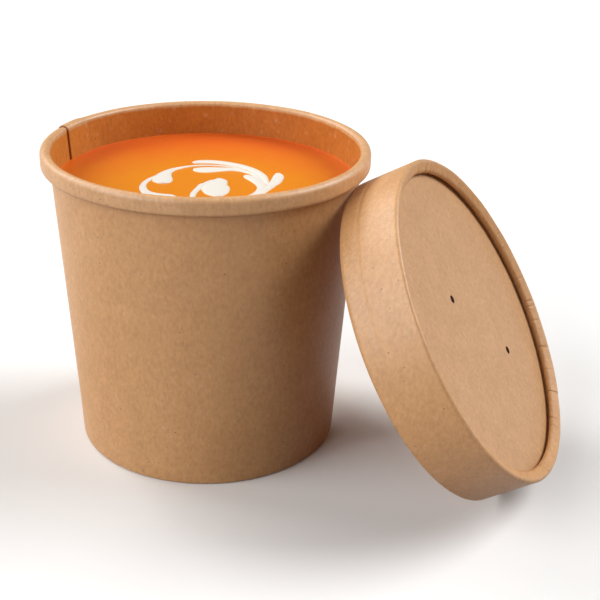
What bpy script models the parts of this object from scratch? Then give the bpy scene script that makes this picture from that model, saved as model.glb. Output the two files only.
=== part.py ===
"""A paper soup cup with a rolled rim, filled with soup, and its paper lid leaning against it.

Metres, +Z up. The origin is on the table, under the middle of the whole.
"""

import math

import bmesh
import bpy
from mathutils import Vector

NAME = "soup_container"

# The board, and how the turned pieces are divided
BOARD = 0.0005  # thickness of the paper board
HALF = BOARD / 2
GAP = 0.0003  # clearance between pieces that touch
STEPS = 48  # facets round each turned piece

# The cup, measured over its outer faces
RIM_RADIUS = 0.045
CUP_HEIGHT = 0.086
WALL_TOP_RADIUS = 0.0424  # at the lower edge of the rolled rim
BASE_RADIUS = 0.037
ROLL_HEIGHT = 0.0049
ROLL_TUCK_RADIUS = 0.0008  # the lower bend of the roll, where its end turns up against the wall
ROLL_TUCK_LENGTH = 0.0012
FOOT_BEND_RADIUS = 0.00055  # each bend of the wall's foot, which folds in and up round the base
FOOT_FOLD_TOP = 0.0068
BASE_RECESS = 0.008  # from the table up to the underside of the base
BASE_BEND_RADIUS = 0.0008
BASE_FLANGE_FOOT = 0.001

# The soup
SOUP_LEVEL = 0.0763
SOUP_CREEP = 0.0005  # how far the soup climbs at the wall
SOUP_CREEP_WIDTH = 0.0016

# The lid, measured over its outer faces, from its open edge up its own axis
LID_MOUTH_RADIUS = 0.0459
LID_TOP_RADIUS = 0.04565
LID_HEIGHT = 0.0165
LID_PANEL_RADIUS = 0.0421  # inside the fold that borders the panel
LID_RECESS = 0.0031  # from the top of the fold down to the panel
LID_PANEL_BEND_RADIUS = 0.0007
LID_FLANGE_TOP = 0.015
LID_CREST_BEND = 0.00065  # the fold's outer bend, at the board's middle surface
LID_FOLD_SLOPE = math.radians(27)  # how far the fold slopes down towards the panel
LID_SLOPE_LENGTH = 0.0017
VENT_RADIUS = 0.0011
VENT_LINE = math.radians(38)  # the two vents lie on one line through the lid's axis
VENT_OFFSETS = (-0.0128, 0.0194)

# How the lid stands: its open edge on the table, its top leaning on the wall under the roll
LID_TILT = math.radians(58.9)
LID_BEARING = math.radians(-18.3)

# Slope of the cup's wall, as the growth of its radius for each metre of height
WALL_SLOPE = (WALL_TOP_RADIUS - BASE_RADIUS) / (CUP_HEIGHT - ROLL_HEIGHT)
WALL_ANGLE = math.atan(WALL_SLOPE)
STEEP = math.cos(WALL_ANGLE)

# Kraft board, its coated inner face, and the soup: colour, roughness
KRAFT = ((0.56, 0.35, 0.19), 0.8)
PANEL_KRAFT = ((0.60, 0.38, 0.21), 0.8)
BASE_KRAFT = ((0.50, 0.31, 0.17), 0.75)
SOUP = ((0.84, 0.22, 0.02), 0.25)


def clear_scene():
    for obj in list(bpy.data.objects):
        bpy.data.objects.remove(obj, do_unlink=True)


def new_collection(name):
    collection = bpy.data.collections.new(name)
    bpy.context.scene.collection.children.link(collection)
    return collection


def new_material(name, finish):
    colour, roughness = finish
    material = bpy.data.materials.new(name)
    material.use_nodes = True
    shader = material.node_tree.nodes["Principled BSDF"]
    shader.inputs["Base Color"].default_value = (*colour, 1)
    shader.inputs["Roughness"].default_value = roughness
    shader.inputs["Metallic"].default_value = 0
    material.diffuse_color = (*colour, 1)
    return material


def new_empty(name, collection, parent=None):
    empty = bpy.data.objects.new(name, None)
    empty.parent = parent
    collection.objects.link(empty)
    return empty


def arc(centre, radius, start, end, steps):
    """Points along an arc from angle start to angle end, in degrees, both ends included."""
    points = []
    for step in range(steps + 1):
        angle = math.radians(start + (end - start) * step / steps)
        points.append((centre[0] + radius * math.cos(angle), centre[1] + radius * math.sin(angle)))
    return points


def wall_line(height, inward=0.0):
    """Radius of the wall's middle surface at this height, or of a line that far inside it."""
    return BASE_RADIUS + height * WALL_SLOPE - (HALF + inward) / STEEP


def turned(name, profile, finish, collection, parent, board=False):
    """Turns a profile of (radius, height) points about the Z axis of its parent.

    A closed piece runs from the axis down its outer side and back to the axis. A board
    is the middle surface of a sheet, which gets its thickness from Solidify.
    """
    mesh = bpy.data.meshes.new(name)
    shape = bmesh.new()
    verts = [shape.verts.new((radius, 0, height)) for radius, height in profile]
    for first, second in zip(verts, verts[1:]):
        shape.edges.new((first, second))
    shape.to_mesh(mesh)
    shape.free()
    obj = bpy.data.objects.new(name, mesh)
    obj.parent = parent
    collection.objects.link(obj)
    obj.data.materials.append(new_material(name, finish))
    screw = obj.modifiers.new("turn", "SCREW")
    screw.steps = STEPS
    screw.render_steps = STEPS
    screw.use_merge_vertices = True
    screw.merge_threshold = 0.00001
    screw.use_smooth_shade = True
    if board:
        solidify = obj.modifiers.new("thickness", "SOLIDIFY")
        solidify.thickness = BOARD
        solidify.offset = 0
        solidify.use_even_offset = True
    return obj


def roll_profile():
    """The rolled rim, from its tucked end round the outside to where it meets the wall."""
    side = RIM_RADIUS - HALF
    top = CUP_HEIGHT - HALF
    # The upper bend touches the side line, the top line and the leaning wall line.
    reach = (side - wall_line(top)) * STEEP
    bend = reach / (1 + (1 - WALL_SLOPE) * STEEP)
    tuck_centre = (side - ROLL_TUCK_RADIUS, CUP_HEIGHT - ROLL_HEIGHT + HALF + ROLL_TUCK_RADIUS)
    tuck = arc(tuck_centre, ROLL_TUCK_RADIUS, -180, 0, 6)
    tuck_end = (tuck[0][0], tuck[0][1] + ROLL_TUCK_LENGTH)
    crown = arc((side - bend, top - bend), bend, 0, 180 - math.degrees(WALL_ANGLE), 7)
    return [tuck_end] + tuck + crown


def foot_profile():
    """The foot of the wall, folded in under itself and up inside the base's flange."""
    lean = math.degrees(WALL_ANGLE)
    fold_width = 2 * (BOARD + GAP)
    centre_height = HALF + FOOT_BEND_RADIUS
    outer = (wall_line(centre_height, FOOT_BEND_RADIUS), centre_height)
    inner = (wall_line(centre_height, fold_width - FOOT_BEND_RADIUS), centre_height)
    return (
        arc(outer, FOOT_BEND_RADIUS, -lean, -90, 3)
        + arc(inner, FOOT_BEND_RADIUS, -90, -180 - lean, 3)
        + [(wall_line(FOOT_FOLD_TOP, fold_width), FOOT_FOLD_TOP)]
    )


def make_cup_wall(collection, parent):
    profile = roll_profile() + foot_profile()
    return turned("cup_wall", profile, KRAFT, collection, parent, board=True)


def make_cup_base(collection, parent):
    """The base disc, with its edge turned down between the wall and the wall's fold."""
    lean = math.degrees(WALL_ANGLE)
    flange_inset = BOARD + GAP
    centre_height = BASE_RECESS + HALF - BASE_BEND_RADIUS
    centre = (wall_line(centre_height, flange_inset + BASE_BEND_RADIUS), centre_height)
    profile = [(0, BASE_RECESS + HALF)]
    profile += arc(centre, BASE_BEND_RADIUS, 90, -lean, 4)
    profile.append((wall_line(BASE_FLANGE_FOOT, flange_inset), BASE_FLANGE_FOOT))
    return turned("cup_base", profile, BASE_KRAFT, collection, parent, board=True)


def make_soup(collection, parent):
    """The soup, from just above the base up to its level, with a low creep at the wall."""
    bottom = BASE_RECESS + BOARD + GAP
    edge = SOUP_LEVEL + SOUP_CREEP
    side_inset = HALF + GAP
    edge_radius = wall_line(edge, side_inset)
    profile = [(0, SOUP_LEVEL)]
    creep_steps = 3
    for step in range(creep_steps):
        share = step / creep_steps
        radius = edge_radius - SOUP_CREEP_WIDTH * (1 - share)
        profile.append((radius, SOUP_LEVEL + SOUP_CREEP * share**2))
    profile += [(edge_radius, edge), (wall_line(bottom, side_inset), bottom), (0, bottom)]
    return turned("soup", profile, SOUP, collection, parent)


def make_lid_skirt(collection, parent):
    """The lid's side, folded over at its top and sloping down inwards to border the panel."""
    slope = math.degrees(LID_FOLD_SLOPE)
    crest = (LID_TOP_RADIUS - HALF - LID_CREST_BEND, LID_HEIGHT - HALF - LID_CREST_BEND)
    outer_bend = arc(crest, LID_CREST_BEND, 0, 90 + slope, 5)
    foot_radius = outer_bend[-1][0] - LID_SLOPE_LENGTH * math.cos(LID_FOLD_SLOPE)
    foot_height = outer_bend[-1][1] - LID_SLOPE_LENGTH * math.sin(LID_FOLD_SLOPE)
    # The inner bend carries on from the slope's foot and ends upright at the panel's radius.
    inner_radius = (foot_radius - LID_PANEL_RADIUS - HALF) / (1 - math.sin(LID_FOLD_SLOPE))
    inner = (
        foot_radius + inner_radius * math.sin(LID_FOLD_SLOPE),
        foot_height - inner_radius * math.cos(LID_FOLD_SLOPE),
    )
    inner_bend = arc(inner, inner_radius, 90 + slope, 180, 3)
    profile = [(LID_MOUTH_RADIUS - HALF, 0)] + outer_bend + inner_bend
    return turned("lid_skirt", profile, KRAFT, collection, parent, board=True)


def make_vent_cutter(offset, collection, parent):
    vent = bpy.data.objects.new("vent_cutter", bpy.data.meshes.new("vent_cutter"))
    shape = bmesh.new()
    bmesh.ops.create_cone(
        shape,
        cap_ends=True,
        segments=16,
        radius1=VENT_RADIUS,
        radius2=VENT_RADIUS,
        depth=LID_RECESS,
    )
    shape.to_mesh(vent.data)
    shape.free()
    vent.parent = parent
    panel_height = LID_HEIGHT - LID_RECESS
    vent.location = (offset * math.cos(VENT_LINE), offset * math.sin(VENT_LINE), panel_height)
    vent.hide_render = True
    vent.display_type = "WIRE"
    collection.objects.link(vent)
    return vent


def make_lid_panel(collection, cutters, parent):
    """The lid's recessed disc, with its edge turned up into the skirt's fold, and its vents."""
    fold = (LID_TOP_RADIUS - LID_PANEL_RADIUS) / 2
    flange = LID_TOP_RADIUS - fold
    height = LID_HEIGHT - LID_RECESS - HALF
    centre = (flange - LID_PANEL_BEND_RADIUS, height + LID_PANEL_BEND_RADIUS)
    profile = [(flange, LID_FLANGE_TOP)]
    profile += arc(centre, LID_PANEL_BEND_RADIUS, 0, -90, 4)
    profile.append((0, height))
    panel = turned("lid_panel", profile, PANEL_KRAFT, collection, parent, board=True)
    for offset in VENT_OFFSETS:
        cut = panel.modifiers.new("vent", "BOOLEAN")
        cut.operation = "DIFFERENCE"
        cut.object = make_vent_cutter(offset, cutters, parent)
    return panel


def lean_lid(lid):
    """Stands the lid on the lowest point of its open edge, a gap clear of the cup's wall."""
    edge_height = 2 * LID_MOUTH_RADIUS * math.sin(LID_TILT)
    wall_face = BASE_RADIUS + edge_height * WALL_SLOPE
    distance = wall_face + GAP + LID_MOUTH_RADIUS * math.cos(LID_TILT)
    lid.location = (
        distance * math.cos(LID_BEARING),
        distance * math.sin(LID_BEARING),
        LID_MOUTH_RADIUS * math.sin(LID_TILT),
    )
    lid.rotation_euler = (0, LID_TILT, LID_BEARING)


def centre_on_box(root, objects):
    """Moves the root so that the origin lies under the middle of the whole."""
    bpy.context.view_layer.update()
    graph = bpy.context.evaluated_depsgraph_get()
    corners = []
    for obj in objects:
        evaluated = obj.evaluated_get(graph)
        corners += [evaluated.matrix_world @ vert.co for vert in evaluated.data.vertices]
    low = Vector([min(corner[axis] for corner in corners) for axis in range(3)])
    high = Vector([max(corner[axis] for corner in corners) for axis in range(3)])
    middle = (low + high) / 2
    root.location = (-middle.x, -middle.y, -low.z)
    bpy.context.view_layer.update()


def main():
    clear_scene()
    parts = new_collection(NAME)
    cutters = new_collection("cutters")
    root = new_empty("container_axis", parts)
    lid = new_empty("lid_axis", parts, root)
    lean_lid(lid)
    pieces = [
        make_cup_wall(parts, root),
        make_cup_base(parts, root),
        make_soup(parts, root),
        make_lid_skirt(parts, lid),
        make_lid_panel(parts, cutters, lid),
    ]
    centre_on_box(root, pieces)


main()
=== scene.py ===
"""A paper soup cup filled with soup, with its lid leaning against it.

Laid out as an add-on: one operator makes each piece, and the panel in the sidebar lists them.
"""

import math
import random

import bmesh
import bpy
from bpy.props import FloatProperty, FloatVectorProperty, IntProperty, PointerProperty
from mathutils import Matrix, Vector, noise


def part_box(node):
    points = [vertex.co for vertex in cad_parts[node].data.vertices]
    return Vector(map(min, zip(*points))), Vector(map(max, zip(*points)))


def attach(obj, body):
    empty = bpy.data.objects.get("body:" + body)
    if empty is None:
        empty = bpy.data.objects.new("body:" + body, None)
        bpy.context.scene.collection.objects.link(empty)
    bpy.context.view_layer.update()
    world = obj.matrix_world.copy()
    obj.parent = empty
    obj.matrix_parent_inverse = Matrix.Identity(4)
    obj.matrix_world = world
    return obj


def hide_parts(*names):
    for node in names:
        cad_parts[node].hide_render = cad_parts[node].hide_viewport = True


bl_info = {
    "name": "Soup Container",
    "version": (1, 0, 0),
    "blender": (4, 5, 0),
    "location": "View3D > Sidebar > Soup",
    "description": "Makes a paper soup cup, its soup and its leaning lid",
    "category": "Add Mesh",
}

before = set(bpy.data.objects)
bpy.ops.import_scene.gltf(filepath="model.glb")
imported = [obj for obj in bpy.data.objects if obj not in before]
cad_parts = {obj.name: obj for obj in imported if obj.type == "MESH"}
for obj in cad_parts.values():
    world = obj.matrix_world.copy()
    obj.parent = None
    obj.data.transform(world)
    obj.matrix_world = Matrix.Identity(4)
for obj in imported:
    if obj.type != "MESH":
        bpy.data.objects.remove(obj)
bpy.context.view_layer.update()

TAU = 2 * math.pi

# Places taken from the frame
CUP_LOW, CUP_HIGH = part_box("cup_wall")
SOUP_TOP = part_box("soup")[1].z
SOLID_CREEP = 0.0005  # how far the soup's solid climbs at the wall
CUP_AXIS = Vector(((CUP_LOW.x + CUP_HIGH.x) / 2, (CUP_LOW.y + CUP_HIGH.y) / 2, 0))
RIM_RADIUS = (CUP_HIGH.x - CUP_LOW.x) / 2
CUP_HEIGHT = CUP_HIGH.z

# Each end of a lapped sheet stands this share of its thickness off the mean surface,
# and eases back over this turn
LAP_SHARE = 0.54
LAP_EASE = math.radians(4)

# How far below the rim's top the crown's tone, a painted shade, starts to fade, and where it ends
CROWN_SHADE_START = 0.0010
CROWN_SHADE_END = 0.0017

# How many fibres lie in a metre, across them and along them
FIBRE_SCALE = (1150.0, 1150.0, 640.0)

# What the pulp's clouds, the fibres, the pale husks and the dark flecks do to the board's colour
CLOUD_TINT = (0.64, 0.54, 0.42)
FIBRE_TINT = (0.58, 0.45, 0.30)
HUSK_TINT = (0.95, 0.74, 0.50)
FLECK_TINT = (0.30, 0.18, 0.10)
HUSK_SHARE = 0.12

# The soup is most yellow round this place off the cup's axis, and reddest beyond the second distance
YELLOW_MIDDLE = Vector((0.003, -0.020, 0))
YELLOW_REACH = 0.030
RED_REACH = 0.055
COLOUR_WANDER = 0.014

# A stroke of cream: its step, its least width, and the width from which it has its full height
STROKE_STEP = 0.0004
STROKE_LEAST_WIDTH = 0.00012
STROKE_FULL_WIDTH = 0.0022

# Seeds of the creases, the fine wrinkles and the vents' ragged edges, and the size of those edges
PLEAT_SEED = 11
WRINKLE_SEED = 6.45
BURR_SEED = 5
BURR_WALL = 0.0002
VENT_STEPS = 32

# Each lamp's name, and its bearing and its height above the table in degrees
LAMPS = (("back", 146, 34), ("left", 200, 34), ("front", 230, 20), ("right", 15, 40))


# ---------------------------------------------------------------- settings


def length(name, description, default):
    return FloatProperty(
        name=name, description=description, default=default, subtype="DISTANCE", unit="LENGTH", precision=5
    )


def angle(name, description, degrees):
    return FloatProperty(
        name=name, description=description, default=math.radians(degrees), subtype="ANGLE", unit="ROTATION"
    )


def colour(name, description, default):
    return FloatVectorProperty(
        name=name, description=description, default=default, subtype="COLOR", size=3, min=0, max=1
    )


class BoardSettings(bpy.types.PropertyGroup):
    """The paper board that the cup and the lid are made of."""

    thickness: length("Thickness", "Thickness of the board", 0.0005)
    gap: length("Gap", "Clearance between sheets that touch", 0.0003)
    outside: colour("Outside", "Bare outer face of the board", (0.725, 0.395, 0.166))
    rolled: colour("Rolled face", "Food-side face where it's rolled outwards", (0.76, 0.44, 0.212))
    # The rolled face's colour made darker on the rim's top, where more light falls: painted shade.
    crown: colour("Crown", "The same face at the top of the rim", (0.63, 0.36, 0.165))
    inside: colour("Inside", "Food-side face inside the cup", (0.61, 0.235, 0.040))
    # The inside's colour made darker on the cup's far side: painted shade.
    inside_far_shade: colour("Inside, far side", "The same face at the cup's far side", (0.50, 0.165, 0.024))
    # A lighter, redder copy of the outer face's colour for the lid's folded edge: painted light.
    fold: colour("Folded edge", "Outer face where it's creased over the lid's edge", (0.76, 0.405, 0.165))
    # Darker than the board: partly the raw cut kraft, partly painted shade for the shadow line at the
    # seams.
    edge: colour("Cut edge", "Cut edge of the board", (0.46, 0.21, 0.08))
    fibre_depth: length("Fibre depth", "Depth of the fibre relief", 0.00004)


class CupSettings(bpy.types.PropertyGroup):
    """The cup: its wall, rolled rim, folded foot and base."""

    wall_top_radius: length("Wall top radius", "Outer radius at the lower edge of the roll", 0.0424)
    base_radius: length("Base radius", "Outer radius at the foot", 0.037)
    roll_height: length("Roll height", "Height of the rolled rim", 0.0049)
    tuck_radius: length("Tuck radius", "Lower bend of the roll", 0.0008)
    tuck_length: length("Tuck length", "End of the board inside the roll", 0.0012)
    foot_bend: length("Foot bend", "Radius of each bend of the folded foot", 0.00055)
    foot_top: length("Foot fold height", "Top of the board folded up inside the foot", 0.0068)
    recess: length("Base recess", "Height of the base's underside", 0.008)
    base_bend: length("Base bend", "Bend of the base's edge", 0.0008)
    flange_foot: length("Flange foot", "Lower edge of the base's flange", 0.001)
    seam_bearing: angle("Seam bearing", "Where the board's inner edge shows inside the cup", 163.0)
    seam_overlap: angle("Seam overlap", "How far the board's ends overlap", 10.0)
    unevenness: length("Unevenness", "How far the wall wanders from a true cone", 0.0001)
    rim_wave: length("Rim unevenness", "How far the rolled rim's inner edge wanders", 0.00018)
    steps: IntProperty(name="Steps", description="Divisions round the cup", default=480, min=24)


class SoupSettings(bpy.types.PropertyGroup):
    """The soup and the cream on it."""

    level: length("Level", "Height of the soup", SOUP_TOP - SOLID_CREEP)
    creep: length("Creep", "How far the soup climbs at the wall", 0.0002)
    creep_width: length("Creep width", "Width of the curved edge", 0.0016)
    ripple: length("Ripple", "How far the soup's surface wanders from level", 0.00003)
    back: colour("Far side", "Colour of the soup at the cup's far side", (0.78, 0.136, 0.017))
    front: colour("Near side", "Colour of the soup at the cup's near side", (0.77, 0.248, 0.0125))
    cream: colour("Cream", "Colour of the thick cream", (0.82, 0.79, 0.72))
    cream_thin: colour("Thin cream", "Colour of cream where soup shows through", (0.88, 0.52, 0.16))
    swirl_offset: length("Swirl offset", "How far the swirl's middle lies towards the near side", 0.0064)
    cream_height: length("Cream height", "How far the cream stands above the soup", 0.0004)


class LidSettings(bpy.types.PropertyGroup):
    """The lid: its skirt, its folded edge and its recessed panel."""

    mouth_radius: length("Mouth radius", "Outer radius at the open edge", 0.0459)
    top_radius: length("Top radius", "Outer radius at the folded edge", 0.04565)
    height: length("Height", "From the open edge to the top of the fold", 0.0165)
    panel_radius: length("Panel radius", "Radius inside the fold", 0.0421)
    recess: length("Recess", "Depth of the panel below the fold", 0.0031)
    panel_bend: length("Panel bend", "Bend of the panel's edge", 0.0007)
    flange_top: length("Flange top", "Top of the panel's turned-up edge", 0.0150)
    crest_bend: length("Crest bend", "Radius of the fold's outer bend", 0.00065)
    fold_slope: angle("Fold slope", "How far the fold slopes down towards the panel", 27)
    slope_length: length("Slope length", "Length of the fold's straight slope", 0.0017)
    burr: length("Vent burr", "How far the vents' pressed edges reach below the panel", 0.0006)
    vent_radius: length("Vent radius", "Radius of the two vents", 0.0011)
    vent_near: length("First vent", "Its place on the line through both vents", -0.0128)
    vent_far: length("Second vent", "Its place on the line through both vents", 0.0194)
    vent_line: angle("Vent line", "Direction of the line through both vents", 38)
    tilt: angle("Tilt", "How far the lid's axis leans from upright", 58.9)
    bearing: angle("Bearing", "Direction in which the lid's axis leans", -18.3)
    seam_bearing: angle("Seam bearing", "Where the skirt's outer board end lies", 33.5)
    seam_overlap: angle("Seam overlap", "How far the board's ends overlap", 11.5)
    groove_height: length("Groove height", "The groove above the open edge that grips the rim", 0.0049)
    groove_width: length("Groove width", "Half width of that groove", 0.00045)
    groove_depth: length("Groove depth", "Depth of that groove", 0.00026)
    groove_bearing: angle("Groove bearing", "Where the groove is deepest", 203)
    groove_least: FloatProperty(
        name="Least groove", description="Share of that depth elsewhere", default=0.2, subtype="FACTOR"
    )
    pleats: IntProperty(name="Pleats", description="Creases round the folded edge", default=84, min=3)
    pleat_depth: length("Pleat depth", "Depth of the deepest crease", 0.00040)
    wrinkle_depth: length("Wrinkle depth", "Depth of the fine wrinkles between the creases", 0.00014)
    unevenness: length("Unevenness", "How far the skirt wanders from a true cone", 0.00008)
    panel_wave: length("Panel unevenness", "How far the panel wanders from flat", 0.00012)
    steps: IntProperty(name="Steps", description="Divisions round the lid", default=1080, min=24)


class StageSettings(bpy.types.PropertyGroup):
    """The floor, the lamps and the camera."""

    lens: FloatProperty(name="Lens", description="Focal length in millimetres", default=73.33)
    standpoint: FloatVectorProperty(
        name="Camera place",
        description="Where the camera stands, from the foot of the cup's axis",
        default=(0.0266, -0.3216, 0.1861),
        size=3,
        subtype="TRANSLATION",
        unit="LENGTH",
    )
    pitch: angle("Camera pitch", "How far the camera looks down", 24.47)
    roll: angle("Camera roll", "How far the camera leans", 1.52)
    back: FloatProperty(name="Back", description="Strength of the back light", default=1.55)
    left: FloatProperty(name="Left", description="Strength of the left light", default=1.3)
    front: FloatProperty(name="Front", description="Strength of the front light", default=1.3)
    right: FloatProperty(name="Right", description="Strength of the right light", default=2.7)
    softness: angle("Softness", "How wide each light is, seen from the table", 38)
    sky: FloatProperty(name="Sky", description="Strength of the even light", default=0.07)
    sky_tint: colour("Sky colour", "Colour of the even light", (1.0, 0.82, 0.64))
    floor_radius: length("Floor radius", "How far the floor reaches", 4.0)
    floor: colour("Floor", "Colour of the floor", (0.92, 0.92, 0.92))
    bounce: colour("Bounce", "The floor's colour in the light that it throws back", (0.12, 0.067, 0.035))


SETTINGS = {
    "soup_board": BoardSettings,
    "soup_cup": CupSettings,
    "soup_food": SoupSettings,
    "soup_lid": LidSettings,
    "soup_stage": StageSettings,
}


# ---------------------------------------------------------------- mesh helpers


def arc(centre, radius, start, end, steps):
    """Points along an arc from start to end, in degrees, both ends included."""
    points = []
    for step in range(steps + 1):
        turn = math.radians(start + (end - start) * step / steps)
        points.append((centre[0] + radius * math.cos(turn), centre[1] + radius * math.sin(turn)))
    return points


def line(start, end, steps):
    """Points between start and end, without either."""
    return [
        tuple(start[axis] + (end[axis] - start[axis]) * step / steps for axis in range(2))
        for step in range(1, steps)
    ]


def profile_normals(profile):
    """The left-hand normal of a profile at each of its points."""
    normals = []
    for index in range(len(profile)):
        before = Vector(profile[max(index - 1, 0)])
        after = Vector(profile[min(index + 1, len(profile) - 1)])
        along = (after - before).normalized()
        normals.append(Vector((-along.y, along.x)))
    return normals


def spun(profile, steps, sweep=TAU, start=0.0):
    """A sheet wrapped round the axis from a profile of (radius, height) points.

    Returns its bmesh, and each vert with its index on the profile and its turn round the axis.
    """
    shape = bmesh.new()
    station = shape.verts.layers.int.new("station")
    last = len(profile) - 1
    bmesh.ops.create_grid(shape, x_segments=steps, y_segments=last, size=1)
    places = []
    for vert in shape.verts:
        index = round((vert.co.y + 1) / 2 * last)
        turn = start + sweep * (vert.co.x + 1) / 2
        radius, height = profile[index]
        vert[station] = index
        vert.co = (radius * math.cos(turn), radius * math.sin(turn), height)
        places.append((vert, index, turn))
    return shape, places


def close_ring(shape):
    """Joins the two ends of a full turn, and its points on the axis."""
    bmesh.ops.remove_doubles(shape, verts=shape.verts, dist=1e-6)
    bmesh.ops.recalc_face_normals(shape, faces=shape.faces)


def face_outwards(shape, station):
    """Turns all of a sheet's faces the way that makes this row of its faces look away from the axis."""
    bmesh.ops.recalc_face_normals(shape, faces=shape.faces)
    layer = shape.verts.layers.int["station"]
    face = next(face for face in shape.faces if min(vert[layer] for vert in face.verts) == station)
    middle = face.calc_center_median()
    if face.normal.x * middle.x + face.normal.y * middle.y < 0:
        bmesh.ops.reverse_faces(shape, faces=shape.faces)


def finish_mesh(shape, name, materials, place=None, smooth=True):
    """Writes a bmesh to a new object at the origin, moved to its place in its mesh."""
    if place is not None:
        bmesh.ops.transform(shape, matrix=place, verts=shape.verts)
    mesh = bpy.data.meshes.new(name)
    shape.to_mesh(mesh)
    shape.free()
    if smooth:
        mesh.shade_smooth()
    for material in materials:
        mesh.materials.append(material)
    piece = bpy.data.objects.new(name, mesh)
    bpy.context.scene.collection.objects.link(piece)
    return piece


def thicken(piece, thickness, inner_slot=0, edge_slot=0):
    """Gives a sheet its thickness about its middle surface."""
    solidify = piece.modifiers.new("board", "SOLIDIFY")
    solidify.thickness = thickness
    solidify.offset = 0
    solidify.use_even_offset = True
    solidify.material_offset = inner_slot
    solidify.material_offset_rim = edge_slot


def smooth_step(low, high, value):
    share = min(max((value - low) / (high - low), 0), 1)
    return share * share * (3 - 2 * share)


def ring_noise(turn, scale, row):
    """Noise that runs round the axis without a join."""
    return noise.noise(Vector((scale * math.cos(turn), scale * math.sin(turn), row)))


def ride(piece, slot, *nodes):
    """Fixes a piece to the container and hides the solid it stands for. The slot is not used."""
    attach(piece, "root")
    if nodes:
        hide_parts(*nodes)
    return piece


# ---------------------------------------------------------------- materials


def socket(tree, name, kind, default=None, output=False):
    made = tree.interface.new_socket(name=name, in_out="OUTPUT" if output else "INPUT", socket_type=kind)
    if default is not None:
        made.default_value = default
    return made


def node(tree, kind, inputs=None, **settings):
    """Adds a node, sets its properties, and sets or links its inputs."""
    made = tree.nodes.new(kind)
    for name, value in settings.items():
        setattr(made, name, value)
    for name, value in (inputs or {}).items():
        if isinstance(value, bpy.types.NodeSocket):
            tree.links.new(value, made.inputs[name])
        else:
            made.inputs[name].default_value = value
    return made


def ramp(tree, value, stops):
    made = node(tree, "ShaderNodeValToRGB", {"Fac": value})
    elements = made.color_ramp.elements
    while len(elements) < len(stops):
        elements.new(1)
    for element, (position, level) in zip(elements, stops):
        element.position = position
        element.color = (level, level, level, 1)
    return made.outputs["Color"]


def maths(tree, operation, first, second=0.0):
    made = node(tree, "ShaderNodeMath", {0: first, 1: second}, operation=operation)
    return made.outputs[0]


def faded(tree, value, low, high, kind="LINEAR"):
    """Runs from 0 to 1 while the value runs from low to high."""
    inputs = {"Value": value, "From Min": low, "From Max": high}
    return node(tree, "ShaderNodeMapRange", inputs, interpolation_type=kind).outputs["Result"]


def object_place(tree):
    return node(tree, "ShaderNodeTexCoord").outputs["Object"]


def height_of(tree, place):
    return node(tree, "ShaderNodeSeparateXYZ", {"Vector": place}).outputs["Z"]


def noise_of(tree, place, scale, detail, distortion=0.0):
    inputs = {"Vector": place, "Scale": scale, "Detail": detail, "Distortion": distortion}
    return node(tree, "ShaderNodeTexNoise", inputs).outputs["Fac"]


def wander_of(tree, value, width):
    """A noise value turned into a distance that wanders over this width."""
    return maths(tree, "MULTIPLY", maths(tree, "SUBTRACT", value, 0.5), width)


def add_relief(tree, shader, height, strength, distance):
    bump = node(tree, "ShaderNodeBump", {"Height": height, "Strength": strength, "Distance": distance})
    tree.links.new(bump.outputs["Normal"], shader.inputs["Normal"])


def tinted(tree, base, tint, share, blend="MULTIPLY"):
    made = node(tree, "ShaderNodeMix", data_type="RGBA", blend_type=blend, clamp_result=True)
    for identifier, value in (("Factor_Float", share), ("A_Color", base), ("B_Color", tint)):
        target = next(item for item in made.inputs if item.identifier == identifier)
        if isinstance(value, bpy.types.NodeSocket):
            tree.links.new(value, target)
        elif isinstance(value, (int, float)):
            target.default_value = value
        else:
            target.default_value = (*value, 1)
    return next(item for item in made.outputs if item.identifier == "Result_Color")


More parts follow.
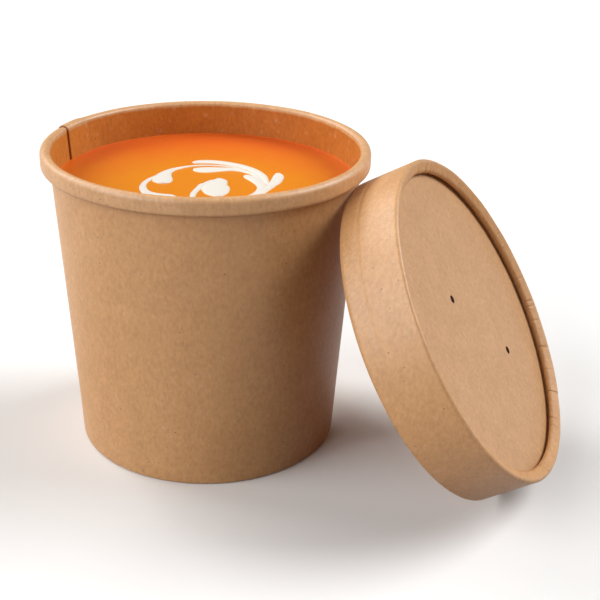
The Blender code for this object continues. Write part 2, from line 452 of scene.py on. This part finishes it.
def board_fibres():
    """The look of kraft board: cloudy pulp, short fibres, pale husks and small dark flecks."""
    name = "board fibres"
    if name in bpy.data.node_groups:
        return bpy.data.node_groups[name]
    tree = bpy.data.node_groups.new(name, "ShaderNodeTree")
    socket(tree, "Colour", "NodeSocketColor", (0.6, 0.4, 0.2, 1))
    for effect, strength in (("Cloud", 0.18), ("Fibre", 0.40), ("Fleck", 0.8)):
        socket(tree, effect, "NodeSocketFloat", strength)
    socket(tree, "Colour", "NodeSocketColor", output=True)
    socket(tree, "Height", "NodeSocketFloat", output=True)
    given = node(tree, "NodeGroupInput")
    place = object_place(tree)
    fibres = None
    for turn in range(3):
        mapping = node(
            tree,
            "ShaderNodeMapping",
            {
                "Vector": place,
                "Rotation": (0.7 * turn, 1.1 * turn, 2.1 * turn),
                "Scale": FIBRE_SCALE,
            },
        )
        strand = noise_of(tree, mapping.outputs[0], 1.0, 3.0, 0.8)
        fibres = strand if fibres is None else maths(tree, "ADD", fibres, strand)
    fibres = maths(tree, "DIVIDE", fibres, 3.0)
    spots = node(tree, "ShaderNodeTexVoronoi", {"Vector": place, "Scale": 520.0, "Randomness": 1.0})
    chance = node(tree, "ShaderNodeSeparateColor", {"Color": spots.outputs["Color"]})
    small = ramp(tree, spots.outputs["Distance"], [(0.07, 1.0), (0.15, 0.0)])
    rare = ramp(tree, chance.outputs["Red"], [(0.90, 0.0), (0.95, 1.0)])
    fleck = maths(tree, "MULTIPLY", small, rare)
    pale = ramp(tree, spots.outputs["Distance"], [(0.12, 1.0), (0.45, 0.0)])
    few = ramp(tree, chance.outputs["Green"], [(0.72, 0.0), (0.90, 1.0)])
    husk = maths(tree, "MULTIPLY", pale, few)
    cloudy = ramp(tree, noise_of(tree, place, 140.0, 4.0), [(0.35, 0.0), (0.65, 1.0)])
    fibrous = ramp(tree, fibres, [(0.40, 0.0), (0.60, 1.0)])
    cloud_share = maths(tree, "MULTIPLY", cloudy, given.outputs["Cloud"])
    fibre_share = maths(tree, "MULTIPLY", fibrous, given.outputs["Fibre"])
    fleck_share = maths(tree, "MULTIPLY", fleck, given.outputs["Fleck"])
    base = tinted(tree, given.outputs["Colour"], CLOUD_TINT, cloud_share)
    base = tinted(tree, base, FIBRE_TINT, fibre_share)
    base = tinted(tree, base, HUSK_TINT, maths(tree, "MULTIPLY", husk, HUSK_SHARE), "MIX")
    base = tinted(tree, base, FLECK_TINT, fleck_share)
    result = node(tree, "NodeGroupOutput")
    tree.links.new(base, result.inputs["Colour"])
    tree.links.new(fibres, result.inputs["Height"])
    return tree


def new_material(name):
    material = bpy.data.materials.new(name)
    material.use_nodes = True
    tree = material.node_tree
    return material, tree, tree.nodes["Principled BSDF"]


def board_material(name, base, roughness, gloss=1.0, fibre=0.40, relief=0.4):
    if name in bpy.data.materials:
        return bpy.data.materials[name]
    material, tree, shader = new_material(name)
    group = node(tree, "ShaderNodeGroup", node_tree=board_fibres())
    group.inputs["Colour"].default_value = (*base, 1)
    group.inputs["Fibre"].default_value = fibre
    tree.links.new(group.outputs["Colour"], shader.inputs["Base Color"])
    add_relief(tree, shader, group.outputs["Height"], relief, bpy.context.scene.soup_board.fibre_depth)
    shader.inputs["Roughness"].default_value = roughness
    shader.inputs["Specular IOR Level"].default_value = gloss
    return material


def outer_board():
    return board_material("kraft outer face", bpy.context.scene.soup_board.outside, 0.5)


# The folded edge's lighter, redder copy of the outer face is painted light.
def fold_light_board():
    fold = bpy.context.scene.soup_board.fold
    return board_material("kraft folded edge", fold, 0.6, gloss=0.65, fibre=0.3)


def rolled_board():
    return board_material("kraft rolled face", bpy.context.scene.soup_board.rolled, 0.5, relief=0.3)


# Darker than the board: partly the raw cut kraft, partly painted shade for the shadow line at the seams.
def cut_edge_and_shade():
    return board_material("kraft cut edge", bpy.context.scene.soup_board.edge, 0.9, fibre=0.3)


# Near-black board for the vents' sides and their collars: painted shade, so that the vents look dark.
def vent_shade_side():
    return board_material("vent side", (0.10, 0.045, 0.02), 0.9, fibre=0.3)


def inner_board():
    """The food side of the wall: pale where it bends over the rim, deeper below, and darker on the cup's
    far side as painted shade.
    """
    board = bpy.context.scene.soup_board
    material = board_material("kraft inner face", board.inside, 0.6, gloss=0.25, relief=0.25)
    tree = material.node_tree
    group = next(item for item in tree.nodes if item.type == "GROUP")
    place = object_place(tree)
    shift = wander_of(tree, noise_of(tree, place, 160.0, 3.0), 0.0012)
    height = maths(tree, "ADD", height_of(tree, place), shift)
    # At the rim's top the inside turns to the crown's tone, the rolled face's colour made darker there as
    # painted shade.
    crown = faded(tree, height, CUP_HEIGHT - CROWN_SHADE_END, CUP_HEIGHT - CROWN_SHADE_START, "SMOOTHSTEP")
    # Towards the cup's far side the inside turns to its darker copy: painted shade.
    away = Vector((0.6, 0.8, 0))
    depth = node(tree, "ShaderNodeVectorMath", {0: place, 1: away}, operation="DOT_PRODUCT")
    centre = CUP_AXIS.dot(away)
    far = faded(tree, depth.outputs["Value"], centre, centre + RIM_RADIUS - 0.003)
    deep = tinted(tree, board.inside, board.inside_far_shade, far, "MIX")
    shade = tinted(tree, deep, board.crown, crown, "MIX")
    tree.links.new(shade, group.inputs["Colour"])
    return material


def soup_material():
    food = bpy.context.scene.soup_food
    material, tree, shader = new_material("pumpkin soup")
    place = object_place(tree)
    wander = wander_of(tree, noise_of(tree, place, 70.0, 3.0, 0.9), COLOUR_WANDER)
    middle = CUP_AXIS + YELLOW_MIDDLE + Vector((0, 0, food.level))
    away = node(tree, "ShaderNodeVectorMath", {0: place, 1: middle}, operation="DISTANCE")
    share = faded(tree, maths(tree, "ADD", away.outputs["Value"], wander), RED_REACH, YELLOW_REACH)
    shade = tinted(tree, food.back, food.front, share, "MIX")
    tree.links.new(shade, shader.inputs["Base Color"])
    add_relief(tree, shader, noise_of(tree, place, 900.0, 2.0), 0.12, 0.00002)
    shader.inputs["Roughness"].default_value = 0.36
    shader.inputs["Specular IOR Level"].default_value = 0.3
    return material


def cream_material():
    food = bpy.context.scene.soup_food
    material, tree, shader = new_material("cream")
    height = height_of(tree, object_place(tree))
    full = food.level + 0.35 * food.cream_height
    rise = faded(tree, height, food.level - 0.00002, full, "SMOOTHSTEP")
    shade = tinted(tree, food.cream_thin, food.cream, rise, "MIX")
    tree.links.new(shade, shader.inputs["Base Color"])
    shader.inputs["Roughness"].default_value = 0.4
    shader.inputs["IOR"].default_value = 1.4
    return material


# ---------------------------------------------------------------- the cup


def wall_slope(cup):
    return (cup.wall_top_radius - cup.base_radius) / (CUP_HEIGHT - cup.roll_height)


def wall_line(height, inward=0.0):
    """Radius of the wall's middle surface at this height, or of a line that far inside it."""
    cup = bpy.context.scene.soup_cup
    half = bpy.context.scene.soup_board.thickness / 2
    slope = wall_slope(cup)
    return cup.base_radius + height * slope - (half + inward) * math.hypot(1, slope)


def roll_profile():
    """The rolled rim, from its tucked end round the outside to where it meets the wall."""
    cup = bpy.context.scene.soup_cup
    half = bpy.context.scene.soup_board.thickness / 2
    side = RIM_RADIUS - half
    top = CUP_HEIGHT - half
    slope = wall_slope(cup)
    steep = 1 / math.hypot(1, slope)
    bend = (side - wall_line(top)) * steep / (1 + (1 - slope) * steep)
    tuck_centre = (side - cup.tuck_radius, CUP_HEIGHT - cup.roll_height + half + cup.tuck_radius)
    tuck = arc(tuck_centre, cup.tuck_radius, -180, 0, 10)
    tuck_end = (tuck[0][0], tuck[0][1] + cup.tuck_length)
    crown = arc((side - bend, top - bend), bend, 0, 180 - math.degrees(math.atan(slope)), 18)
    return [tuck_end] + tuck + line(tuck[-1], crown[0], 4) + crown


def foot_profile():
    """The foot of the wall, folded in under itself and up inside the base's flange."""
    cup = bpy.context.scene.soup_cup
    board = bpy.context.scene.soup_board
    lean = math.degrees(math.atan(wall_slope(cup)))
    fold_width = 2 * (board.thickness + board.gap)
    centre_height = board.thickness / 2 + cup.foot_bend
    outer = (wall_line(centre_height, cup.foot_bend), centre_height)
    inner = (wall_line(centre_height, fold_width - cup.foot_bend), centre_height)
    return (
        arc(outer, cup.foot_bend, -lean, -90, 6)
        + arc(inner, cup.foot_bend, -90, -180 - lean, 6)
        + [(wall_line(cup.foot_top, fold_width), cup.foot_top)]
    )


def lapped(turn, start, sweep, overlap, thickness):
    """How far a lapped sheet lies off its mean surface: outside where it starts, inside where it ends."""
    outside = 1 - smooth_step(start + overlap, start + overlap + LAP_EASE, turn)
    inside = smooth_step(start + sweep - overlap - LAP_EASE, start + sweep - overlap, turn)
    return (outside - inside) * thickness * LAP_SHARE


class SOUP_OT_cup_wall(bpy.types.Operator):
    """Makes the cup's wall: one sheet, lapped at its seam, rolled at the rim and folded at the foot"""

    bl_idname = "soup.cup_wall"
    bl_label = "Cup wall"

    def execute(self, context):
        cup = context.scene.soup_cup
        board = context.scene.soup_board
        roll = roll_profile()
        foot = foot_profile()
        profile = roll + line(roll[-1], foot[0], 24) + foot
        normals = profile_normals(profile)
        sweep = TAU + cup.seam_overlap
        # The sheet ends with its inner end, whose edge shows inside the cup.
        start = cup.seam_bearing - cup.seam_overlap
        shape, places = spun(profile, cup.steps, sweep, start)
        crown_end = len(roll) - 1
        for vert, index, turn in places:
            radius, height = profile[index]
            lift = lapped(turn, start, sweep, cup.seam_overlap, board.thickness)
            # The wall's unevenness fades out towards the foot.
            off_floor = smooth_step(0, 0.01, height)
            near_crown = math.exp(-(((index - crown_end) / 3.0) ** 2))
            lift += off_floor * cup.unevenness * ring_noise(turn, 3, height * 40)
            lift += near_crown * cup.rim_wave * (ring_noise(turn, 7, 4) + 0.6 * ring_noise(turn, 17, 9))
            # The profile runs down the wall, so its left-hand normal points out there.
            move = normals[index] * lift
            radius += move.x
            vert.co = (radius * math.cos(turn), radius * math.sin(turn), height + move.y)
        for face in shape.faces:
            inner = min(vert[shape.verts.layers.int["station"]] for vert in face.verts)
            face.material_index = 3 if inner >= crown_end - 3 else 0
        face_outwards(shape, len(roll) + 10)
        place = Matrix.Translation(CUP_AXIS)
        materials = [outer_board(), rolled_board(), cut_edge_and_shade(), outer_board(), inner_board(), cut_edge_and_shade()]
        piece = finish_mesh(shape, "cup_wall_board", materials, place)
        thicken(piece, board.thickness, inner_slot=1, edge_slot=2)
        ride(piece, "kraft", "cup_wall")
        return {"FINISHED"}


class SOUP_OT_cup_base(bpy.types.Operator):
    """Makes the cup's base disc, with its edge turned down into the foot"""

    bl_idname = "soup.cup_base"
    bl_label = "Cup base"

    def execute(self, context):
        cup = context.scene.soup_cup
        board = context.scene.soup_board
        half = board.thickness / 2
        lean = math.degrees(math.atan(wall_slope(cup)))
        inset = board.thickness + board.gap
        centre_height = cup.recess + half - cup.base_bend
        centre = (wall_line(centre_height, inset + cup.base_bend), centre_height)
        bend = arc(centre, cup.base_bend, 90, -lean, 8)
        middle = (0, cup.recess + half)
        profile = [middle] + line(middle, bend[0], 12) + bend
        profile.append((wall_line(cup.flange_foot, inset), cup.flange_foot))
        shape, _ = spun(profile, 128)
        close_ring(shape)
        piece = finish_mesh(shape, "cup_base_board", [outer_board()], Matrix.Translation(CUP_AXIS))
        thicken(piece, board.thickness)
        ride(piece, "kraft_base", "cup_base")
        return {"FINISHED"}


# ---------------------------------------------------------------- the soup


class SOUP_OT_soup(bpy.types.Operator):
    """Makes the soup, up to its level and with a curved edge where it wets the wall"""

    bl_idname = "soup.soup"
    bl_label = "Soup"

    def execute(self, context):
        food = context.scene.soup_food
        board = context.scene.soup_board
        cup = context.scene.soup_cup
        half = board.thickness / 2
        bottom = cup.recess + board.thickness
        edge = food.level + food.creep
        edge_radius = wall_line(edge, half) + 0.5 * board.gap
        top = [(0, food.level)]
        start = (edge_radius - food.creep_width, food.level)
        top += line(top[0], start, 40) + [start]
        for step in range(1, 11):
            share = step / 10
            radius = edge_radius - food.creep_width * (1 - share)
            top.append((radius, food.level + food.creep * share**3))
        profile = top + [(wall_line(bottom, half) - board.gap, bottom), (0, bottom)]
        shape, _ = spun(profile, 180)
        close_ring(shape)
        for vert in shape.verts:
            if vert.co.z >= food.level - 1e-5:
                where = Vector((vert.co.x * 60, vert.co.y * 60, 7.0))
                vert.co.z += food.ripple * noise.noise(where)
        piece = finish_mesh(shape, "soup_body", [soup_material()], Matrix.Translation(CUP_AXIS))
        ride(piece, "soup", "soup")
        return {"FINISHED"}


def smooth_route(points, spacing):
    """Points at even steps along a smooth curve through (x, y, width) points."""
    knots = [Vector(point) for point in points]
    knots = [2 * knots[0] - knots[1]] + knots + [2 * knots[-1] - knots[-2]]
    route = []
    for before, start, end, after in zip(knots, knots[1:], knots[2:], knots[3:]):
        count = max(int((end - start).to_2d().length / spacing), 1)
        for step in range(count):
            share = step / count
            route.append(
                0.5
                * (
                    2 * start
                    + (end - before) * share
                    + (2 * before - 5 * start + 4 * end - after) * share**2
                    + (3 * start - before - 3 * end + after) * share**3
                )
            )
    route.append(knots[-2])
    return route


def add_stroke(shape, points, level, height):
    """Adds one stroke of cream: a low dome swept along a smooth route of changing width."""
    route = smooth_route(points, STROKE_STEP)
    ring = None
    for index, point in enumerate(route):
        before = route[max(index - 1, 0)]
        after = route[min(index + 1, len(route) - 1)]
        along = (after - before).to_2d().normalized()
        turn = math.atan2(along.y, along.x)
        width = max(point.z, STROKE_LEAST_WIDTH)
        rise = height * min(1, width / STROKE_FULL_WIDTH) ** 0.6
        if ring is None:
            made = bmesh.ops.create_circle(shape, cap_ends=True, radius=1, segments=20)
            ring = made["verts"]
            edges = {edge for vert in ring for edge in vert.link_edges}
            unit = [vert.co.copy() for vert in ring]
        else:
            made = bmesh.ops.extrude_edge_only(shape, edges=list(edges))
            ring = [item for item in made["geom"] if isinstance(item, bmesh.types.BMVert)]
            edges = {item for item in made["geom"] if isinstance(item, bmesh.types.BMEdge)}
            edges = {edge for edge in edges if all(vert in set(ring) for vert in edge.verts)}
        place = (
            Matrix.Translation((point.x, point.y, level - 0.3 * rise))
            @ Matrix.Rotation(turn, 4, "Z")
            @ Matrix.Rotation(math.pi / 2, 4, "Y")
            @ Matrix.Rotation(math.pi / 2, 4, "Z")
        )
        size = Matrix.Diagonal((width / 2, 1.3 * rise, 1, 1))
        for vert, corner in zip(ring, unit):
            vert.co = place @ (size @ corner)
    bmesh.ops.contextual_create(shape, geom=list(edges))


# Each stroke of cream as (bearing in degrees, distance from the swirl's middle and width in millimetres),
# from its blunt end to its drawn-out tail
CREAM_STROKES = {
    "outer sweep": [
        (105, 19.1, 1.6), (99, 19.8, 2.9), (88, 19.8, 3.1), (76, 19.3, 3.1), (62, 18.8, 3.0),
        (47, 18.3, 2.7), (31, 17.7, 2.3), (15, 17.0, 1.7), (4, 16.7, 0.6),
    ],
    "far drop": [
        (109, 13.3, 1.8), (102, 12.7, 4.4), (91, 12.7, 5.0), (77, 13.6, 3.8), (65, 14.9, 2.6),
        (53, 15.7, 2.0), (38, 16.0, 1.7), (26, 15.8, 1.5), (12, 16.0, 0.7),
    ],
    "left drop": [
        (180, 11.2, 2.0), (173, 11.6, 5.0), (163, 12.6, 6.0), (151, 13.8, 4.8), (139, 15.0, 3.1),
        (126, 15.8, 1.8), (109, 16.4, 1.1), (90, 16.7, 0.9), (70, 16.8, 0.8), (52, 16.8, 0.5),
    ],
    "right drop": [
        (39, 13.4, 1.4), (33, 13.6, 3.0), (19, 14.4, 3.6), (5, 15.0, 3.0), (-6, 15.4, 2.5),
        (-18, 15.6, 2.5), (-30, 15.6, 2.6), (-42, 15.2, 2.3), (-56, 15.6, 1.2), (-68, 16.2, 0.6),
    ],
    "near left drop": [
        (238, 13.0, 1.6), (230, 13.4, 3.4), (221, 15.0, 3.6), (211, 16.4, 3.0), (202, 16.9, 2.5),
        (191, 16.9, 2.1), (179, 16.5, 1.7), (167, 15.8, 1.5), (155, 15.4, 0.8),
    ],
    "near right drop": [
        (308, 12.6, 1.6), (300, 12.9, 4.6), (288, 13.4, 5.2), (273, 14.6, 3.6), (258, 15.8, 2.0),
        (243, 16.8, 1.2), (228, 17.0, 0.7),
    ],
    "right leaf": [
        (29, 22.3, 1.8), (24, 21.6, 3.2), (13, 19.7, 3.4), (2, 17.9, 2.8), (-9, 16.9, 2.4),
        (-22, 16.4, 2.2), (-34, 16.2, 1.6),
    ],
    "middle drop": [
        (58, 5.9, 1.6), (46, 5.0, 5.0), (-2, 2.6, 7.6), (-46, 4.4, 8.2), (-62, 7.8, 6.4), (-66, 10.2, 2.0),
    ],
    "middle curl": [
        (20, 1.4, 0.9), (200, 0.5, 2.4), (241, 2.8, 2.0), (248, 5.8, 1.8), (253, 8.8, 1.8),
        (260, 11.6, 1.2), (276, 13.0, 0.6),
    ],
}


class SOUP_OT_cream(bpy.types.Operator):
    """Makes the cream: a ring of drops drawn out into each other round a middle drop"""

    bl_idname = "soup.cream"
    bl_label = "Cream"

    def execute(self, context):
        food = context.scene.soup_food
        shape = bmesh.new()
        for stroke in CREAM_STROKES.values():
            route = []
            for bearing, distance, width in stroke:
                turn = math.radians(bearing)
                route.append(
                    (
                        0.001 * distance * math.cos(turn),
                        0.001 * distance * math.sin(turn) - food.swirl_offset,
                        0.001 * width,
                    )
                )
            add_stroke(shape, route, food.level, food.cream_height)
        piece = finish_mesh(shape, "cream_swirl", [cream_material()], Matrix.Translation(CUP_AXIS))
        ride(piece, "soup")
        return {"FINISHED"}


# ---------------------------------------------------------------- the lid


def lid_place():
    """Where the lid stands: its open edge on the table, its top a gap clear of the cup's wall."""
    lid = bpy.context.scene.soup_lid
    cup = bpy.context.scene.soup_cup
    edge_height = 2 * lid.mouth_radius * math.sin(lid.tilt)
    wall_face = cup.base_radius + edge_height * wall_slope(cup)
    distance = wall_face + bpy.context.scene.soup_board.gap + lid.mouth_radius * math.cos(lid.tilt)
    middle = Vector(
        (
            distance * math.cos(lid.bearing),
            distance * math.sin(lid.bearing),
            lid.mouth_radius * math.sin(lid.tilt),
        )
    )
    return (
        Matrix.Translation(CUP_AXIS + middle)
        @ Matrix.Rotation(lid.bearing, 4, "Z")
        @ Matrix.Rotation(lid.tilt, 4, "Y")
    )


def pleat_list(lid):
    """Bearing, depth and half width of each crease, unevenly spaced round the fold."""
    draw = random.Random(PLEAT_SEED)
    pleats = []
    for index in range(lid.pleats):
        bearing = TAU * (index + draw.uniform(-0.33, 0.33)) / lid.pleats
        deep = draw.uniform(0.1, 1.0) ** 2
        pleats.append((bearing, deep * lid.pleat_depth, draw.uniform(0.004, 0.010)))
    return pleats


def pleat_depth(pleats, turn):
    """Depth of the folded edge's creases at this bearing."""
    depth = 0.0
    for bearing, deep, half_width in pleats:
        away = abs((turn - bearing + math.pi) % TAU - math.pi)
        if away < 3 * half_width:
            depth = max(depth, deep * math.exp(-((away / half_width) ** 2)))
    return depth


class SOUP_OT_lid_skirt(bpy.types.Operator):
    """Makes the lid's side, folded over inwards at its top with the creases of a gathered edge"""

    bl_idname = "soup.lid_skirt"
    bl_label = "Lid skirt"

    def execute(self, context):
        lid = context.scene.soup_lid
        board = context.scene.soup_board
        half = board.thickness / 2
        slope = math.degrees(lid.fold_slope)
        crest = (lid.top_radius - half - lid.crest_bend, lid.height - half - lid.crest_bend)
        bend = arc(crest, lid.crest_bend, 0, 90 + slope, 10)
        drop = (math.cos(lid.fold_slope), math.sin(lid.fold_slope))
        foot = (bend[-1][0] - lid.slope_length * drop[0], bend[-1][1] - lid.slope_length * drop[1])
        # The inner bend carries on from the slope's foot and ends upright at the panel's radius.
        inner_bend = (foot[0] - lid.panel_radius - half) / (1 - drop[1])
        inner = (foot[0] + inner_bend * drop[1], foot[1] - inner_bend * drop[0])
        bend_in = arc(inner, inner_bend, 90 + slope, 180, 8)
        mouth = (lid.mouth_radius - half, 0)
        side = [mouth] + line(mouth, bend[0], 32)
        # The plain stretches of the side need fewer rows than its groove and its top.
        side = side[0:6:2] + side[6:14] + side[14:26:3] + side[26:]
        outer = len(side) + len(bend)
        profile = side + bend + line(bend[-1], bend_in[0], 6) + bend_in
        normals = profile_normals(profile)
        pleats = pleat_list(lid)
        sweep = TAU + lid.seam_overlap
        start = lid.seam_bearing
        shape, places = spun(profile, lid.steps, sweep, start)
        folds = {turn: pleat_depth(pleats, turn) for turn in {place[2] for place in places}}
        for vert, index, turn in places:
            radius, height = profile[index]
            inward = smooth_step(outer - 4, outer + 5, index)
            pressed = smooth_step(outer - 16, outer - 4, index)
            lift = lapped(turn, start, sweep, lid.seam_overlap, board.thickness) * (1 - 0.85 * pressed)
            if index < len(side):
                facing = max(math.cos(turn - lid.groove_bearing), 0) ** 4
                deep = lid.groove_depth * (lid.groove_least + (1 - lid.groove_least) * facing)
                lift -= deep * math.exp(-(((height - lid.groove_height) / lid.groove_width) ** 2))
            lift += lid.unevenness * ring_noise(turn, 5, height * 60) * smooth_step(0, 0.004, height)
            wrinkle = abs(ring_noise(turn, 70, (index - outer) * 0.15 + WRINKLE_SEED))
            lift -= (folds[turn] + lid.wrinkle_depth * wrinkle) * inward
            # This profile runs up the outside, so its left-hand normal points in.
            move = -normals[index] * lift
            radius += move.x
            vert.co = (radius * math.cos(turn), radius * math.sin(turn), height + move.y)
        # The folded edge takes the lighter copy of the outer face: painted light.
        for face in shape.faces:
            near = min(vert[shape.verts.layers.int["station"]] for vert in face.verts)
            face.material_index = 3 if near >= outer - 2 else 0
        face_outwards(shape, 4)
        materials = [outer_board(), rolled_board(), cut_edge_and_shade(), fold_light_board(), rolled_board(), cut_edge_and_shade()]
        piece = finish_mesh(shape, "lid_skirt_board", materials, lid_place())
        thicken(piece, board.thickness, inner_slot=1, edge_slot=2)
        ride(piece, "kraft", "lid_skirt")
        return {"FINISHED"}


class SOUP_OT_lid_panel(bpy.types.Operator):
    """Makes the lid's recessed disc, with its edge turned up into the fold, and its two vents"""

    bl_idname = "soup.lid_panel"
    bl_label = "Lid panel"

    def execute(self, context):
        lid = context.scene.soup_lid
        board = context.scene.soup_board
        half = board.thickness / 2
        flange = (lid.top_radius + lid.panel_radius) / 2
        height = lid.height - lid.recess - half
        bend = arc((flange - lid.panel_bend, height + lid.panel_bend), lid.panel_bend, -90, 0, 8)
        middle = (0, height)
        profile = [middle] + line(middle, bend[0], 60) + bend + [(flange, lid.flange_top)]
        shape, _ = spun(profile, 240)
        close_ring(shape)
        for vert in shape.verts:
            where = Vector((vert.co.x * 45, vert.co.y * 45, 2.0))
            radius = math.hypot(vert.co.x, vert.co.y)
            inside = 1 - smooth_step(lid.panel_radius - 0.004, lid.panel_radius, radius)
            vert.co.z += lid.panel_wave * inside * noise.noise(where)
        piece = finish_mesh(shape, "lid_panel_board", [outer_board()])
        thicken(piece, board.thickness)
        for offset in (lid.vent_near, lid.vent_far):
            self.cut_vent(piece, offset, lid, height)
            self.add_burr(piece, offset, lid, height - half)
        piece.data.transform(lid_place())
        ride(piece, "kraft_panel", "lid_panel")
        return {"FINISHED"}

    def cut_vent(self, piece, offset, lid, height):
        """Cuts one round vent through the disc and leaves no helper behind."""
        shape = bmesh.new()
        bmesh.ops.create_cone(
            shape,
            cap_ends=True,
            segments=VENT_STEPS,
            radius1=lid.vent_radius,
            radius2=lid.vent_radius,
            depth=lid.recess,
        )
        where = (offset * math.cos(lid.vent_line), offset * math.sin(lid.vent_line), height)
        # The cutter hands its near-black painted shade to the vent's side.
        cutter = finish_mesh(shape, "vent_cutter", [vent_shade_side()], Matrix.Translation(where))
        cut = piece.modifiers.new("vent", "BOOLEAN")
        cut.material_mode = "TRANSFER"
        cut.operation = "DIFFERENCE"
        cut.object = cutter
        graph = bpy.context.evaluated_depsgraph_get()
        mesh = bpy.data.meshes.new_from_object(piece.evaluated_get(graph))
        piece.modifiers.clear()
        piece.data = mesh
        bpy.data.objects.remove(cutter, do_unlink=True)

    def add_burr(self, piece, offset, lid, height):
        """Adds the short ragged collar that the punch presses out below one vent."""
        shape = bmesh.new()
        shape.from_mesh(piece.data)
        old = set(shape.verts)
        draw = random.Random(BURR_SEED)
        # The collar's face stands a hair inside the vent's side, so that the two don't coincide.
        inner = lid.vent_radius - 0.00002
        outer = lid.vent_radius + BURR_WALL
        low = height - lid.burr
        profile = [(inner, height), (inner, low), (outer, low), (outer, height), (inner, height)]
        burr, places = spun(profile, VENT_STEPS)
        ragged = [draw.uniform(-0.3, 0.1) * lid.burr for _ in range(VENT_STEPS)]
        for vert, index, turn in places:
            if index in (1, 2):
                vert.co.z -= ragged[round(turn / TAU * VENT_STEPS) % VENT_STEPS]
        close_ring(burr)
        where = (offset * math.cos(lid.vent_line), offset * math.sin(lid.vent_line), 0)
        bmesh.ops.translate(burr, verts=burr.verts, vec=where)
        added = bpy.data.meshes.new("vent_burr")
        burr.to_mesh(added)
        burr.free()
        shape.from_mesh(added)
        bpy.data.meshes.remove(added)
        # The collar gets the near-black painted shade of the vents.
        side = piece.data.materials.find("vent side")
        for face in shape.faces:
            if not any(vert in old for vert in face.verts):
                face.material_index = side
        shape.to_mesh(piece.data)
        shape.free()


# ---------------------------------------------------------------- the stage


def soft_light(name, bearing, height, strength, softness):
    """A broad, even light that comes from this bearing and height above the table."""
    data = bpy.data.lights.new(name, "SUN")
    data.energy = strength
    data.angle = softness
    lamp = bpy.data.objects.new(name, data)
    flat = math.cos(height)
    source = Vector((math.cos(bearing) * flat, math.sin(bearing) * flat, math.sin(height)))
    lamp.rotation_euler = source.to_track_quat("Z", "Y").to_euler()
    lamp.location = source
    bpy.context.scene.collection.objects.link(lamp)


def floor_material(stage):
    """Pale to the camera, and duller in the light that it throws back onto the cup."""
    material, tree, shader = new_material("pale floor")
    path = node(tree, "ShaderNodeLightPath")
    seen = maths(tree, "MAXIMUM", path.outputs["Is Camera Ray"], path.outputs["Is Glossy Ray"])
    shade = tinted(tree, stage.bounce, stage.floor, seen, "MIX")
    tree.links.new(shade, shader.inputs["Base Color"])
    shader.inputs["Roughness"].default_value = 0.9
    shader.inputs["Specular IOR Level"].default_value = 0.0
    return material


class SOUP_OT_stage(bpy.types.Operator):
    """Makes the pale floor, the soft lamps and the camera"""

    bl_idname = "soup.stage"
    bl_label = "Stage"

    def execute(self, context):
        stage = context.scene.soup_stage
        self.make_floor(stage)
        self.make_world(stage)
        for name, bearing, height in LAMPS:
            turns = (math.radians(bearing), math.radians(height))
            soft_light(name + "_light", *turns, getattr(stage, name), stage.softness)
        self.make_camera(context, stage)
        return {"FINISHED"}

    def make_floor(self, stage):
        shape = bmesh.new()
        bmesh.ops.create_circle(shape, cap_ends=True, radius=stage.floor_radius, segments=64)
        floor = finish_mesh(shape, "floor", [floor_material(stage)], smooth=False)

    def make_world(self, stage):
        world = bpy.data.worlds.new("studio")
        bpy.context.scene.world = world
        world.use_nodes = True
        tree = world.node_tree
        back = tree.nodes["Background"]
        seen = node(tree, "ShaderNodeLightPath").outputs["Is Camera Ray"]
        shade = tinted(tree, stage.sky_tint, (1, 1, 1), seen, "MIX")
        tree.links.new(shade, back.inputs["Color"])
        strength = node(tree, "ShaderNodeMapRange", {"Value": seen, "To Min": stage.sky, "To Max": 1.0})
        tree.links.new(strength.outputs["Result"], back.inputs["Strength"])

    def make_camera(self, context, stage):
        data = bpy.data.cameras.new("camera")
        data.sensor_width = 36
        data.lens = stage.lens
        camera = bpy.data.objects.new("camera", data)
        context.scene.collection.objects.link(camera)
        backwards = Vector((0, -math.cos(stage.pitch), math.sin(stage.pitch)))
        turn = Matrix.Rotation(TAU / 4 - stage.pitch, 4, "X")
        lean = Matrix.Rotation(stage.roll, 4, backwards)
        camera.matrix_world = Matrix.Translation(CUP_AXIS + Vector(stage.standpoint)) @ lean @ turn
        context.scene.camera = camera
        context.scene.view_settings.view_transform = "Standard"


OPERATORS = (
    SOUP_OT_cup_wall,
    SOUP_OT_cup_base,
    SOUP_OT_soup,
    SOUP_OT_cream,
    SOUP_OT_lid_skirt,
    SOUP_OT_lid_panel,
    SOUP_OT_stage,
)


class SOUP_PT_container(bpy.types.Panel):
    """Lists the settings and the pieces of the soup container"""

    bl_idname = "SOUP_PT_container"
    bl_label = "Soup container"
    bl_space_type = "VIEW_3D"
    bl_region_type = "UI"
    bl_category = "Soup"

    def draw(self, context):
        for name, settings in SETTINGS.items():
            box = self.layout.box()
            box.label(text=settings.__doc__)
            for field in settings.__annotations__:
                box.prop(getattr(context.scene, name), field)
        for operator in OPERATORS:
            self.layout.operator(operator.bl_idname)


def register():
    for name, settings in SETTINGS.items():
        bpy.utils.register_class(settings)
        setattr(bpy.types.Scene, name, PointerProperty(type=settings))
    for operator in OPERATORS:
        bpy.utils.register_class(operator)
    bpy.utils.register_class(SOUP_PT_container)


def unregister():
    bpy.utils.unregister_class(SOUP_PT_container)
    for operator in reversed(OPERATORS):
        bpy.utils.unregister_class(operator)
    for name, settings in SETTINGS.items():
        delattr(bpy.types.Scene, name)
        bpy.utils.unregister_class(settings)


def main():
    register()
    for operator in OPERATORS:
        group, name = operator.bl_idname.split(".")
        getattr(getattr(bpy.ops, group), name)()


if __name__ == "__main__":
    main()
